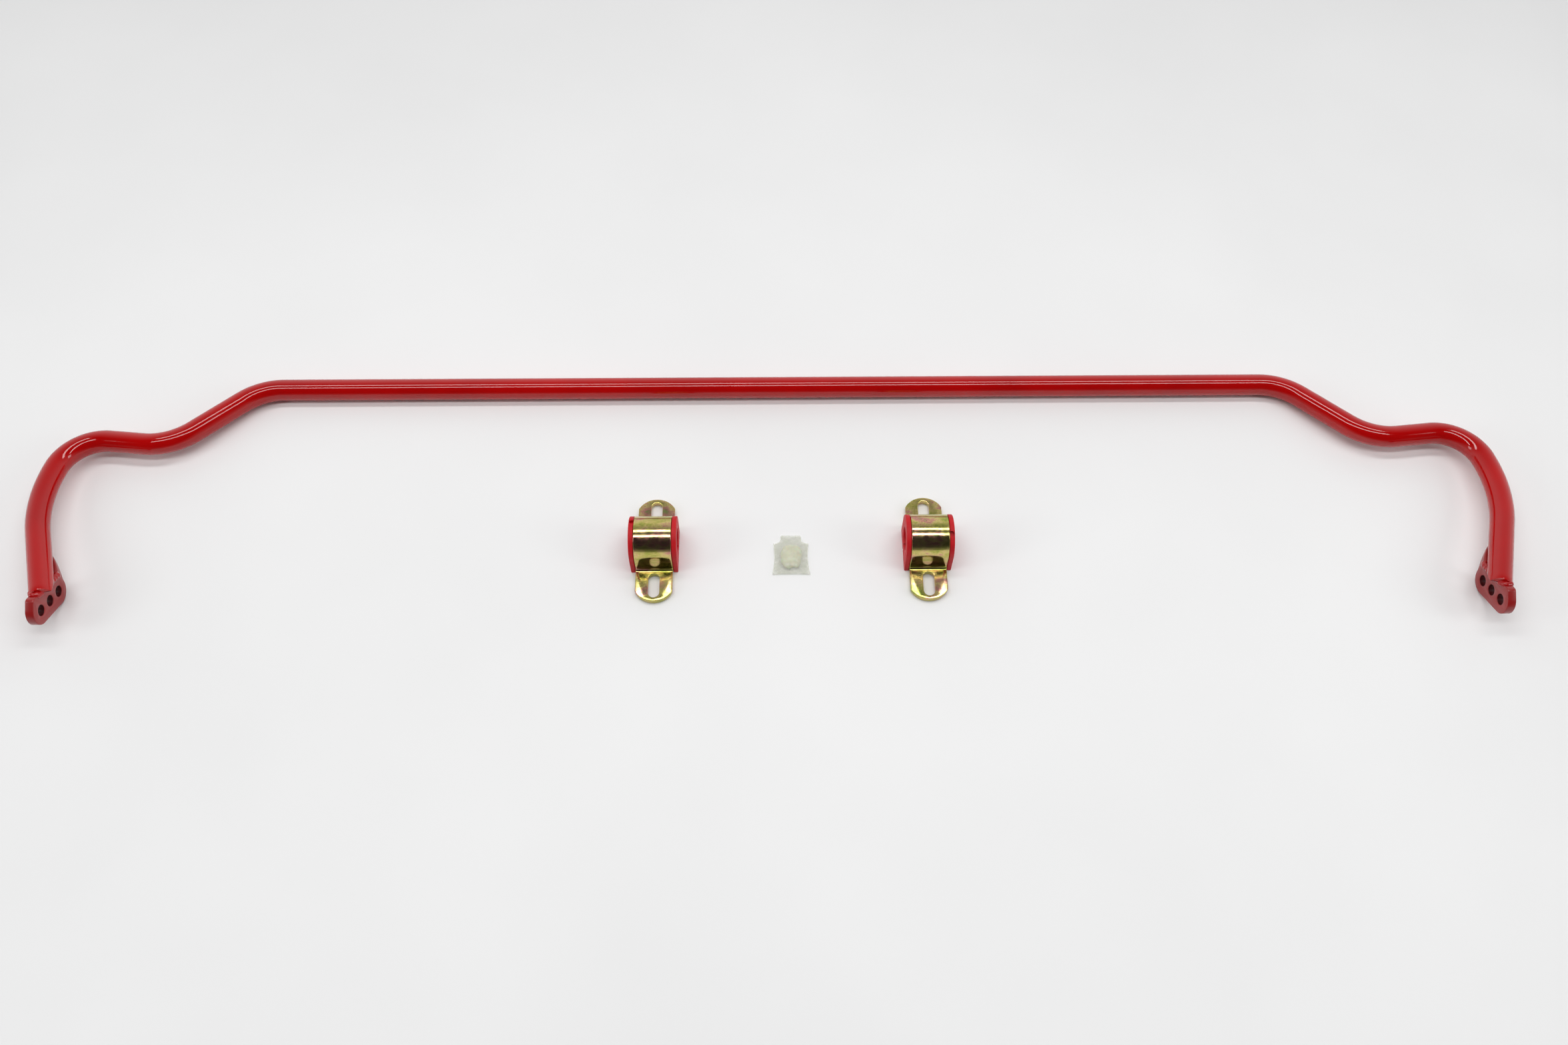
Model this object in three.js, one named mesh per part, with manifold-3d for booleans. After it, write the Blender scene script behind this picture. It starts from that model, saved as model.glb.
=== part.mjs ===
// Adjustable sway bar kit, laid out ready to fit: a one-piece bent bar with a three-hole plate
// welded to each end, two split bushings in their strap brackets, and a sachet of bushing grease.
// Millimetres, +X to the right along the bar, -Y forward towards the arm ends, +Z up.
import * as THREE from 'three';
import { mergeVertices } from 'three/addons/utils/BufferGeometryUtils.js';
import Module from 'manifold-3d';

const wasm = await Module();
wasm.setup();

// ---- driving dimensions -------------------------------------------------------------------
const GAP = 0.3; // clearance kept between touching pieces

// bar, along its centreline, in the bar's own plane
const BAR_D = 18;
const STRAIGHT_HALF = 435.5; // bar centre to the corner of the upper knee
const SHOULDER_OUT = 62; // sideways step of the shoulder
const SHOULDER_FORWARD = 61; // forward step of the shoulder
const KNEE_R = 47;
const OUTER_RUN = 28; // straight between the lower knee and the arm bend
const OUTER_RUN_LEAN = 6.3; // degrees that it leans back
const ARM_BEND_R = 33;
const ARM_BEND_ANGLE = 87; // degrees
const ARM_SWEEP_R = 129; // gentler bend that carries the arm round to its toe-in
const ARM_TOE = 20.5; // degrees that the arm leans inwards
const ARM_END_FORWARD = 208; // bar axis to the end of the arm

// end plates
const PLATE_T = 6.5;
const HOLE_D = 8.6;
const HOLE_PITCH = 13.8;
const HOLE_COUNT = 3;
const LOBE_R = 11; // plate material around the end holes
const HOLE_ROW_ANGLE = 25.3; // degrees, hole row to the bar's plane
const FIRST_HOLE_BACK = 15.8; // first hole behind the arm's end
const FIRST_HOLE_DROP = 16.8; // first hole below the arm's axis
const PLATE_RISE = 12.5; // hole row to the edge that is welded to the arm
const PLATE_CORNER_R = 3.5;
const PLATE_INSET = 1; // plate's middle, inside the arm's axis
const WELD_LEG = 3;

// bushings
const BUSHING_WALL = 4.8; // around the bore, inside the strap
const BORE_HEIGHT = 18.9; // bore axis above the flat base
const BORE_CLEARANCE = 0.15; // on the radius
const FLANGE_T = 3.7;
const SLIT_W = 1;
const GATE_D = 4.4; // moulding recess at the root of the outer flange
const GATE_DEPTH = 2.5;
const GATE_TILT = 20; // degrees that it leans forward

// brackets
const STRAP_T = 4.5;
const STRAP_W = 29.4;
const FOLD_R = 2.5; // inside radius where a leg turns into a foot
const SLOT_CENTRE = 32.7; // slot centre to the bore's plane
const SLOT_W = 9;
const SLOT_L = 20.8;
const FOOT_MARGIN = 3.3; // foot end beyond the slot
const FOOT_SAGITTA = 9; // rise of the foot's rounded end

// grease sachet
const FILM_T = 0.6;
const SACHET_W = 30.3;
const SACHET_L = 28;
const SACHET_CORNER_R = 4;
const NECK_W = 16.4;
const NECK_L = 7.4;
const SEAL = 6; // flat sealed margin beside the filling
const FILL_SQUASH = 0.44; // filling's height over half its width
const FILL_FORWARD = 1.5; // filling's middle, in front of the pouch's

// layout on the bench
const SET_PITCH = 216.5; // between the two bracket sets
const LAYOUT_SHIFT = 12.9; // sets and sachet, right of the bar's middle
const SET_FORWARD = 155.5; // bar axis to the bushings' bores
const SACHET_FORWARD = 22; // bushings' bores to the sachet's front edge

// ---- fineness of the solids ----------------------------------------------------------------
const BAR_STEPS = 240; // along the whole bar
const ARC_STEPS = { bar: 8, plate: 10, bushing: 14, strap: 16, foot: 12, slot: 8, pouch: 5, disc: 40 };
const BEAD_STEPS = 4;
const GATE_SIDES = 16;
const FILL_STEPS = { up: 8, round: 28 };
const WELD_TOLERANCE = 1e-4; // vertices closer than this are one
const FLAT_TOLERANCE = 1e-6; // turns and lengths smaller than this are none

// ---- values that follow -------------------------------------------------------------------
const BAR_R = BAR_D / 2;
const BORE_R = BAR_R + BORE_CLEARANCE;
const BUSHING_R = BORE_R + BUSHING_WALL;
const STRAP_IN_R = BUSHING_R + GAP;
const STRAP_OUT_R = STRAP_IN_R + STRAP_T;
const BODY_L = STRAP_W + 2 * GAP; // bushing between its flanges
const FOOT_END = SLOT_CENTRE + SLOT_L / 2 + FOOT_MARGIN;
const CUTTER = 8 * BAR_D; // side of a cube that is larger than anything it trims
const JOIN = 0.5; // how far one half of a joined solid runs into the other
const MOUTH_CUT = 0.01; // how far a hollow drops below its mouth, so that it stays open

const rad = THREE.MathUtils.degToRad;
// Corners of the bar's right half in its own plane, as (out, forward).
const lean = rad(OUTER_RUN_LEAN);
const toe = rad(ARM_TOE);
const bendTurn = rad(ARM_BEND_ANGLE);
const sweepTurn = lean + Math.PI / 2 + toe - bendTurn;
const kneeTurn = Math.atan2(SHOULDER_FORWARD, SHOULDER_OUT) + lean;
const reachOf = (radius, turn) => radius * Math.tan(turn / 2); // corner to where its bend starts
const heading = (angle) => new THREE.Vector2(Math.cos(angle), Math.sin(angle));
const bendReach = reachOf(ARM_BEND_R, bendTurn);
const upperKnee = new THREE.Vector2(STRAIGHT_HALF, 0);
const lowerKnee = new THREE.Vector2(STRAIGHT_HALF + SHOULDER_OUT, SHOULDER_FORWARD);
const bendCorner = lowerKnee.clone()
  .addScaledVector(heading(-lean), reachOf(KNEE_R, kneeTurn) + OUTER_RUN + bendReach);
const sweepCorner = bendCorner.clone()
  .addScaledVector(heading(bendTurn - lean), bendReach + reachOf(ARM_SWEEP_R, sweepTurn));
const armXAt = (forward) => sweepCorner.x - (forward - sweepCorner.y) * Math.tan(toe);
const armEnd = new THREE.Vector2(armXAt(ARM_END_FORWARD), ARM_END_FORWARD);

const firstHole = new THREE.Vector2(ARM_END_FORWARD - FIRST_HOLE_BACK, -FIRST_HOLE_DROP);
const holeRow = new THREE.Vector2(Math.cos(rad(HOLE_ROW_ANGLE)), Math.sin(rad(HOLE_ROW_ANGLE)));
const holes = Array.from({ length: HOLE_COUNT }, (_, i) =>
  firstHole.clone().addScaledVector(holeRow, i * HOLE_PITCH));
const lastHole = holes[HOLE_COUNT - 1];

// The arm is cut along the plate's upper edge, which runs parallel to the hole row.
const rowUp = new THREE.Vector2(-holeRow.y, holeRow.x);
const crossing = (FIRST_HOLE_DROP - (PLATE_RISE + GAP) * rowUp.y) / holeRow.y;
const mitre = firstHole.clone().addScaledVector(holeRow, crossing)
  .addScaledVector(rowUp, PLATE_RISE + GAP);
const rowLength = (HOLE_COUNT - 1) * HOLE_PITCH;
const rootBack = crossing + PLATE_CORNER_R;
const rootFront = rowLength - crossing + PLATE_CORNER_R;
const armTip = (ARM_END_FORWARD - mitre.x) / holeRow.x; // end of the arm along the cut
const onMitre = (along, up) =>
  mitre.clone().addScaledVector(holeRow, along).addScaledVector(rowUp, up);
const plateX = armXAt(mitre.x) - PLATE_INSET;

// The bar rests on its straight and on the lowest lobe of each plate, which tips its plane up.
const restTilt = Math.asin((LOBE_R - BAR_R) / firstHole.length())
  - Math.atan2(firstHole.y, firstHole.x);
const plateFront = lastHole.x * Math.cos(restTilt) - lastHole.y * Math.sin(restTilt) + LOBE_R;
const frameY = (plateFront - BAR_R) / 2; // puts the origin under the middle of the whole kit

// ---- helpers ------------------------------------------------------------------------------
const X = new THREE.Vector3(1, 0, 0);
const Y = new THREE.Vector3(0, 1, 0);
const Z = new THREE.Vector3(0, 0, 1);

function toSolid(geometry) {
  const bare = geometry.clone();
  bare.deleteAttribute('normal');
  bare.deleteAttribute('uv');
  const welded = mergeVertices(bare, WELD_TOLERANCE);
  const vertProperties = new Float32Array(welded.attributes.position.array);
  const triVerts = new Uint32Array(welded.index.array);
  return new wasm.Manifold(new wasm.Mesh({ numProp: 3, vertProperties, triVerts }));
}

function toGeometry(solid) {
  const mesh = solid.getMesh();
  const geometry = new THREE.BufferGeometry();
  geometry.setAttribute('position', new THREE.BufferAttribute(mesh.vertProperties, 3));
  geometry.setIndex(new THREE.BufferAttribute(mesh.triVerts, 1));
  geometry.computeVertexNormals();
  return geometry;
}

// A drawing in (forward, up) pushed along X, centred on X = 0.
function acrossBar(shape, width, curveSegments = ARC_STEPS.plate) {
  const geometry = new THREE.ExtrudeGeometry(shape, {
    depth: width, bevelEnabled: false, curveSegments,
  });
  geometry.translate(0, 0, -width / 2);
  geometry.applyMatrix4(new THREE.Matrix4().makeBasis(Y.clone().negate(), Z, X.clone().negate()));
  return geometry;
}

// A drawing in (x, y) raised from z = bottom.
function raised(shape, bottom, height, curveSegments) {
  const geometry = new THREE.ExtrudeGeometry(shape, {
    depth: height, bevelEnabled: false, curveSegments,
  });
  geometry.translate(0, 0, bottom);
  return geometry;
}

// Outline that a belt would take around a set of discs, anticlockwise.
function beltAround(discs) {
  const steps = ARC_STEPS.disc;
  const points = [];
  for (const { centre, r } of discs) {
    for (let i = 0; i < steps; i += 1) {
      const a = (2 * Math.PI * i) / steps;
      points.push(new THREE.Vector2(centre.x + r * Math.cos(a), centre.y + r * Math.sin(a)));
    }
  }
  points.sort((a, b) => a.x - b.x || a.y - b.y);
  const turn = (o, a, b) => (a.x - o.x) * (b.y - o.y) - (a.y - o.y) * (b.x - o.x);
  const chain = (list) => {
    const kept = [];
    for (const p of list) {
      while (kept.length > 1 && turn(kept.at(-2), kept.at(-1), p) <= FLAT_TOLERANCE) kept.pop();
      kept.push(p);
    }
    return kept.slice(0, -1);
  };
  return chain(points).concat(chain(points.reverse()));
}

function roundHole(centre, r) {
  return new THREE.Path().absarc(centre.x, centre.y, r, 0, 2 * Math.PI, true);
}

// ---- bar ----------------------------------------------------------------------------------
class Arc extends THREE.Curve {
  constructor(centre, from, axis, angle) {
    super();
    Object.assign(this, { centre, from, axis, angle });
  }

  getPoint(t, target = new THREE.Vector3()) {
    return target.copy(this.from).sub(this.centre)
      .applyAxisAngle(this.axis, t * this.angle).add(this.centre);
  }
}

// Straight stretches between corners, each inner corner rounded to its own bend radius.
function bentPath(corners, radii) {
  const path = new THREE.CurvePath();
  let start = corners[0];
  for (let i = 1; i < corners.length - 1; i += 1) {
    const into = corners[i].clone().sub(corners[i - 1]).normalize();
    const out = corners[i + 1].clone().sub(corners[i]).normalize();
    const angle = into.angleTo(out);
    const radius = radii[i - 1];
    const reach = radius * Math.tan(angle / 2);
    const from = corners[i].clone().addScaledVector(into, -reach);
    const to = corners[i].clone().addScaledVector(out, reach);
    const axis = into.clone().cross(out).normalize();
    const centre = from.clone().addScaledVector(axis.clone().cross(into), radius);
    if (start.distanceTo(from) > FLAT_TOLERANCE) path.add(new THREE.LineCurve3(start, from));
    path.add(new Arc(centre, from, axis, angle));
    start = to;
  }
  path.add(new THREE.LineCurve3(start, corners.at(-1)));
  return path;
}

function mitreCutter(side) {
  const box = new THREE.BoxGeometry(CUTTER, CUTTER, CUTTER);
  box.translate(0, 0, -CUTTER / 2);
  const along = new THREE.Vector3(0, -holeRow.x, holeRow.y);
  const up = new THREE.Vector3(0, -rowUp.x, rowUp.y);
  box.applyMatrix4(new THREE.Matrix4().makeBasis(X.clone().negate(), along, up));
  box.translate(side * armXAt(mitre.x), -mitre.x, mitre.y);
  return toSolid(box);
}

function barGeometry() {
  const right = [upperKnee, lowerKnee, bendCorner, sweepCorner, armEnd]
    .map((p) => new THREE.Vector3(p.x, -p.y, 0));
  const left = right.map((p) => new THREE.Vector3(-p.x, p.y, 0)).reverse();
  const radii = [KNEE_R, KNEE_R, ARM_BEND_R, ARM_SWEEP_R];
  const section = new THREE.Shape().absarc(0, 0, BAR_R, 0, 2 * Math.PI);
  const geometry = new THREE.ExtrudeGeometry(section, {
    extrudePath: bentPath([...left, ...right], [...radii.toReversed(), ...radii]),
    steps: BAR_STEPS,
    curveSegments: ARC_STEPS.bar,
  });
  return toGeometry(toSolid(geometry).subtract(mitreCutter(-1)).subtract(mitreCutter(1)));
}

// ---- end plates and welds -----------------------------------------------------------------
function plateOutline(extra) {
  const corner = PLATE_CORNER_R + extra;
  return beltAround([
    { centre: firstHole, r: LOBE_R + extra },
    { centre: lastHole, r: LOBE_R + extra },
    { centre: onMitre(-rootBack, -GAP - PLATE_CORNER_R), r: corner },
    { centre: onMitre(rootFront, -GAP - PLATE_CORNER_R), r: corner },
  ]);
}

function endPlateGeometry(side) {
  const shape = new THREE.Shape(plateOutline(0));
  shape.holes = holes.map((hole) => roundHole(hole, HOLE_D / 2));
  return acrossBar(shape, PLATE_T).translate(side * plateX, 0, 0);
}

// A rounded bead along both faces of the plate and round its back end, under the arm's cut.
function endWeldGeometry(side) {
  const halfW = PLATE_T / 2 + GAP;
  const back = rootBack + PLATE_CORNER_R + GAP;
  const core = new THREE.Shape();
  core.moveTo(halfW, -back);
  core.lineTo(halfW, armTip);
  core.lineTo(-halfW, armTip);
  core.lineTo(-halfW, -back);
  const bead = new THREE.ExtrudeGeometry(core, {
    depth: WELD_LEG, bevelThickness: WELD_LEG, bevelSize: WELD_LEG, bevelSegments: BEAD_STEPS,
  });
  bead.translate(0, 0, -GAP);
  const over = new THREE.BoxGeometry(CUTTER, CUTTER, CUTTER).translate(0, 0, CUTTER / 2 - GAP);
  const under = toGeometry(toSolid(bead).subtract(toSolid(over)));
  const along = new THREE.Vector3(0, -holeRow.x, holeRow.y);
  const up = new THREE.Vector3(0, -rowUp.x, rowUp.y);
  under.applyMatrix4(new THREE.Matrix4().makeBasis(X.clone().negate(), along, up));
  under.translate(side * plateX, -mitre.x, mitre.y);
  const room = acrossBar(new THREE.Shape(plateOutline(GAP)), PLATE_T + 2 * GAP);
  room.translate(side * plateX, 0, 0);
  return toGeometry(toSolid(under).subtract(toSolid(room)));
}

// ---- bushing ------------------------------------------------------------------------------
// D-shaped section around the bore, slit open down to its flat base.
function bushingSection(r) {
  const half = SLIT_W / 2;
  const slitAngle = Math.asin(half / BORE_R);
  const shape = new THREE.Shape();
  shape.moveTo(half, 0);
  shape.lineTo(r, 0);
  shape.lineTo(r, BORE_HEIGHT);
  shape.absarc(0, BORE_HEIGHT, r, 0, Math.PI);
  shape.lineTo(-r, 0);
  shape.lineTo(-half, 0);
  const first = 1.5 * Math.PI - slitAngle;
  shape.lineTo(-half, BORE_HEIGHT - BORE_R * Math.cos(slitAngle));
  shape.absarc(0, BORE_HEIGHT, BORE_R, first, first - 2 * Math.PI + 2 * slitAngle, true);
  shape.lineTo(half, 0);
  return shape;
}

function bushingGeometry() {
  const flangeX = BODY_L / 2 + FLANGE_T / 2;
  let solid = toSolid(acrossBar(bushingSection(BUSHING_R), BODY_L + 2 * JOIN, ARC_STEPS.bushing));
  for (const side of [-1, 1]) {
    const flange = acrossBar(bushingSection(STRAP_OUT_R), FLANGE_T, ARC_STEPS.bushing);
    solid = solid.add(toSolid(flange.translate(side * flangeX, 0, 0)));
  }
  const gate = new THREE.CylinderGeometry(GATE_D / 2, GATE_D / 2, 2 * GATE_DEPTH, GATE_SIDES);
  gate.rotateX(rad(90 + GATE_TILT));
  const gateUp = new THREE.Vector2(-Math.sin(rad(GATE_TILT)), Math.cos(rad(GATE_TILT)));
  gate.translate(BODY_L / 2 + GATE_D / 4, gateUp.x * STRAP_OUT_R,
    BORE_HEIGHT + gateUp.y * STRAP_OUT_R);
  return toGeometry(solid.subtract(toSolid(gate)));
}

// ---- bracket ------------------------------------------------------------------------------
// Edge of the strap as seen along the bar: a foot, a leg, the arch, a leg and a foot.
function strapSection() {
  const foldOut = FOLD_R;
  const foldIn = FOLD_R + STRAP_T;
  const shape = new THREE.Shape();
  shape.moveTo(FOOT_END, 0);
  shape.lineTo(FOOT_END, STRAP_T);
  shape.lineTo(STRAP_OUT_R + foldOut, STRAP_T);
  shape.absarc(STRAP_OUT_R + foldOut, STRAP_T + foldOut, foldOut, 1.5 * Math.PI, Math.PI, true);
  shape.lineTo(STRAP_OUT_R, BORE_HEIGHT);
  shape.absarc(0, BORE_HEIGHT, STRAP_OUT_R, 0, Math.PI);
  shape.lineTo(-STRAP_OUT_R, STRAP_T + foldOut);
  shape.absarc(-STRAP_OUT_R - foldOut, STRAP_T + foldOut, foldOut, 0, -0.5 * Math.PI, true);
  shape.lineTo(-FOOT_END, STRAP_T);
  shape.lineTo(-FOOT_END, 0);
  shape.lineTo(-STRAP_IN_R - foldIn, 0);
  shape.absarc(-STRAP_IN_R - foldIn, foldIn, foldIn, 1.5 * Math.PI, 2 * Math.PI);
  shape.lineTo(-STRAP_IN_R, BORE_HEIGHT);
  shape.absarc(0, BORE_HEIGHT, STRAP_IN_R, Math.PI, 0, true);
  shape.lineTo(STRAP_IN_R, foldIn);
  shape.absarc(STRAP_IN_R + foldIn, foldIn, foldIn, Math.PI, 1.5 * Math.PI);
  shape.lineTo(FOOT_END, 0);
  return shape;
}

// Plan of the whole strap: parallel sides, a shallow arc at the end of each foot.
function strapPlan() {
  const half = STRAP_W / 2;
  const endR = (half ** 2 + FOOT_SAGITTA ** 2) / (2 * FOOT_SAGITTA);
  const sweep = Math.asin(half / endR);
  const shape = new THREE.Shape();
  shape.moveTo(half, FOOT_SAGITTA - FOOT_END);
  shape.lineTo(half, FOOT_END - FOOT_SAGITTA);
  shape.absarc(0, FOOT_END - endR, endR, Math.PI / 2 - sweep, Math.PI / 2 + sweep);
  shape.lineTo(-half, FOOT_SAGITTA - FOOT_END);
  shape.absarc(0, endR - FOOT_END, endR, 1.5 * Math.PI - sweep, 1.5 * Math.PI + sweep);
  return shape;
}

function slotPlan() {
  const r = SLOT_W / 2;
  const end = SLOT_L / 2 - r;
  const shape = new THREE.Shape();
  shape.moveTo(r, -end);
  shape.absarc(0, end, r, 0, Math.PI);
  shape.absarc(0, -end, r, Math.PI, 2 * Math.PI);
  return shape;
}

function bracketGeometry() {
  const reach = BORE_HEIGHT + STRAP_OUT_R + STRAP_T;
  let solid = toSolid(acrossBar(strapSection(), STRAP_W + 2 * STRAP_T, ARC_STEPS.strap));
  solid = solid.intersect(toSolid(raised(strapPlan(), -STRAP_T, reach + STRAP_T, ARC_STEPS.foot)));
  for (const side of [-1, 1]) {
    const slot = raised(slotPlan(), -STRAP_T, 3 * STRAP_T, ARC_STEPS.slot);
    solid = solid.subtract(toSolid(slot.translate(0, side * SLOT_CENTRE, 0)));
  }
  return toGeometry(solid);
}

// ---- sachet -------------------------------------------------------------------------------
// Pillow of two films with a filling neck at the back.
function sachetOutline() {
  const half = SACHET_W / 2;
  const neck = NECK_W / 2;
  const r = SACHET_CORNER_R;
  const shape = new THREE.Shape();
  shape.moveTo(r - half, 0);
  shape.lineTo(half - r, 0);
  shape.absarc(half - r, r, r, -Math.PI / 2, 0);
  shape.lineTo(half, SACHET_L - r);
  shape.absarc(half - r, SACHET_L - r, r, 0, Math.PI / 2);
  shape.lineTo(neck, SACHET_L + NECK_L);
  shape.lineTo(-neck, SACHET_L + NECK_L);
  shape.lineTo(r - half, SACHET_L);
  shape.absarc(r - half, SACHET_L - r, r, Math.PI / 2, Math.PI);
  shape.lineTo(-half, r);
  shape.absarc(r - half, r, r, Math.PI, 1.5 * Math.PI);
  return shape;
}

const fillHalfW = SACHET_W / 2 - SEAL;
const fillHalfL = (SACHET_L + NECK_L) / 2 - SEAL;
const fillCentre = (SACHET_L + NECK_L) / 2 - FILL_FORWARD;

// Flat-bottomed blister, oval in plan, standing on z = 0; grown outwards by extra.
function blister(extra) {
  const steps = FILL_STEPS.up;
  const height = fillHalfW * FILL_SQUASH;
  const profile = [new THREE.Vector2(0, 0)];
  for (let i = 0; i < steps; i += 1) {
    const a = (Math.PI / 2) * (i / steps);
    profile.push(new THREE.Vector2(Math.cos(a), Math.sin(a)));
  }
  profile.push(new THREE.Vector2(0, 1));
  const geometry = new THREE.LatheGeometry(profile, FILL_STEPS.round);
  geometry.rotateX(Math.PI / 2);
  geometry.scale(fillHalfW + extra, fillHalfL + extra, height + extra);
  return geometry.translate(0, fillCentre, 0);
}

const fillBase = FILM_T + GAP;

function upperFilmGeometry() {
  const sheet = toSolid(raised(sachetOutline(), fillBase, FILM_T, ARC_STEPS.pouch));
  const dome = toSolid(blister(GAP + FILM_T).translate(0, 0, fillBase));
  const hollow = toSolid(blister(GAP).translate(0, 0, fillBase - MOUTH_CUT));
  return toGeometry(sheet.add(dome).subtract(hollow));
}

// ---- materials ----------------------------------------------------------------------------
const powderCoat = new THREE.MeshStandardMaterial({
  color: 0xb40a0c, roughness: 0.28, metalness: 0,
});
const polyurethane = new THREE.MeshStandardMaterial({
  color: 0xb81b20, roughness: 0.6, metalness: 0,
});
const yellowZinc = new THREE.MeshStandardMaterial({
  color: 0xc2a24a, roughness: 0.2, metalness: 1,
});
const film = new THREE.MeshStandardMaterial({
  color: 0xe1e4d7, roughness: 0.2, metalness: 0, transparent: true, opacity: 0.4,
});
const grease = new THREE.MeshStandardMaterial({ color: 0xd6d2b8, roughness: 0.3, metalness: 0 });

// ---- assembly -----------------------------------------------------------------------------
function named(name, geometry, material) {
  const mesh = new THREE.Mesh(geometry, material);
  mesh.name = name;
  return mesh;
}

const kit = new THREE.Group();
kit.position.y = frameY;

const barGroup = new THREE.Group();
barGroup.position.z = BAR_R;
barGroup.rotation.x = -restTilt;
barGroup.add(named('bar', barGeometry(), powderCoat));
for (const [prefix, side] of [['left', -1], ['right', 1]]) {
  barGroup.add(named(`${prefix}_end_plate`, endPlateGeometry(side), powderCoat));
  barGroup.add(named(`${prefix}_end_weld`, endWeldGeometry(side), powderCoat));
}
kit.add(barGroup);

// The left set is the right set turned half a turn.
for (const [prefix, side, turn] of [['left', -1, Math.PI], ['right', 1, 0]]) {
  const set = new THREE.Group();
  set.position.set(LAYOUT_SHIFT + (side * SET_PITCH) / 2, -SET_FORWARD, 0);
  set.rotation.z = turn;
  set.add(named(`${prefix}_bushing`, bushingGeometry(), polyurethane));
  set.add(named(`${prefix}_bracket`, bracketGeometry(), yellowZinc));
  kit.add(set);
}

const sachet = new THREE.Group();
sachet.position.set(LAYOUT_SHIFT, -SET_FORWARD - SACHET_FORWARD, 0);
sachet.add(named('sachet_lower_film', raised(sachetOutline(), 0, FILM_T, ARC_STEPS.pouch), film));
sachet.add(named('sachet_upper_film', upperFilmGeometry(), film));
sachet.add(named('grease', blister(0).translate(0, 0, fillBase), grease));
kit.add(sachet);

export default kit;
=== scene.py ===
"""Looks of the sway bar kit: bar with end plates, two bushing sets and a grease sachet. Metres."""
import math
import random

import bmesh
import bpy
from mathutils import Matrix, Vector, noise


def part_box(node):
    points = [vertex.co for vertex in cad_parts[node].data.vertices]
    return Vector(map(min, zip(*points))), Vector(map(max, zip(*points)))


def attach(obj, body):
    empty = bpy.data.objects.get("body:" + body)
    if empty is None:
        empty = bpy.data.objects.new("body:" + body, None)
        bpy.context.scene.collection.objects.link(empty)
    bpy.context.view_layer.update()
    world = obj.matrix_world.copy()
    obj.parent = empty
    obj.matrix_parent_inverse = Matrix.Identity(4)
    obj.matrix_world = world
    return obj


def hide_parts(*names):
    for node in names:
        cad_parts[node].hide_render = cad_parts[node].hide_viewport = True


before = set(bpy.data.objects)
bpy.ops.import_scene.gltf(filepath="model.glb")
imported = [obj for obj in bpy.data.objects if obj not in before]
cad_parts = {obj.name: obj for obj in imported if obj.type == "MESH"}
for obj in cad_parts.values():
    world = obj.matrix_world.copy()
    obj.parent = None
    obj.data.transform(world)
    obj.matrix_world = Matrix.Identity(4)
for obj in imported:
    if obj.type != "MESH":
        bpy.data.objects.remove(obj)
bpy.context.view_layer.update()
MM = 0.001

BAR_R = 9 * MM
STRAIGHT_HALF = 435.5 * MM
SHOULDER_OUT = 62 * MM
SHOULDER_FORWARD = 61 * MM
KNEE_R = 47 * MM
OUTER_RUN = 28 * MM
LEAN = math.radians(6.3)
ARM_BEND_R = 33 * MM
ARM_BEND = math.radians(87)
ARM_SWEEP_R = 129 * MM
ARM_TOE = math.radians(20.5)
ARM_END_FORWARD = 208 * MM

HOLE_D = 8.6 * MM
HOLE_PITCH = 13.8 * MM
HOLE_COUNT = 3
LOBE_R = 11 * MM
ROW_ANGLE = math.radians(25.3)
FIRST_HOLE_BACK = 15.8 * MM
FIRST_HOLE_DROP = 16.8 * MM
PLATE_RISE = 12.5 * MM
PLATE_CORNER_R = 3.5 * MM

GAP = 0.3 * MM
BORE_CLEARANCE = 0.15 * MM
BUSHING_WALL = 4.8 * MM
STRAP_T = 4.5 * MM
BORE_R = BAR_R + BORE_CLEARANCE
BUSHING_R = BORE_R + BUSHING_WALL
STRAP_IN_R = BUSHING_R + GAP
STRAP_OUT_R = STRAP_IN_R + STRAP_T
BORE_HEIGHT = 18.9 * MM
FLANGE_T = 3.7 * MM
SLIT_W = 1 * MM
FOLD_R = 2.5 * MM
SLOT_CENTRE = 32.7 * MM
SLOT_W = 9 * MM
SLOT_L = 20.8 * MM
FOOT_SAGITTA = 9 * MM
GATE_R = 2.2 * MM
GATE_DEPTH = 2.5 * MM
GATE_TILT = math.radians(20)
SACHET_L = 28 * MM
NECK_W = 16.4 * MM
NECK_L = 7.4 * MM

# ---- sizes that only the visible pieces have ----------------------------------------------
SMOOTH_ANGLE = math.radians(35)  # edges sharper than this stay crisp
BEVEL_ANGLE = math.radians(40)  # edges sharper than this are rounded
BAR_EDGE = 0.5 * MM
PLATE_EDGE = 0.6 * MM
BRACKET_EDGE = 0.45 * MM
BUSHING_EDGE = 0.6 * MM
WEB_R = 19 * MM  # hollow curve from the arm's underside to the plate's first lobe
WEB_SINK = 2.5 * MM  # how far the web's far end runs up into the arm
BEAD_R = 2.6 * MM
BEAD_RIPPLE = 0.2 * MM
BEAD_RIPPLES = 22
BEAD_ROUGHNESS = 0.07 * MM
SHOULDER_R = 4 * MM  # hollow corner between the pouch and its neck
POUCH_PINCH = 1.3 * MM  # how far the pouch's sides draw in
POUCH_TAPER = 1.1 * MM  # how much narrower each side is at the shoulder
NECK_CORNER_R = 1.2 * MM
FRONT_BOW = 0.6 * MM
FILM_T = 0.35 * MM  # thinner than the film in the CAD
FILM_LIFT = 0.1 * MM
FILM_CREASE = 0.22 * MM
SEAL_RIB = 0.1 * MM
SEAL_RIB_RATE = 3600  # radians per metre
SEAL_FROM = 1.25  # where the ribs start, as a share of the filling's reach

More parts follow.
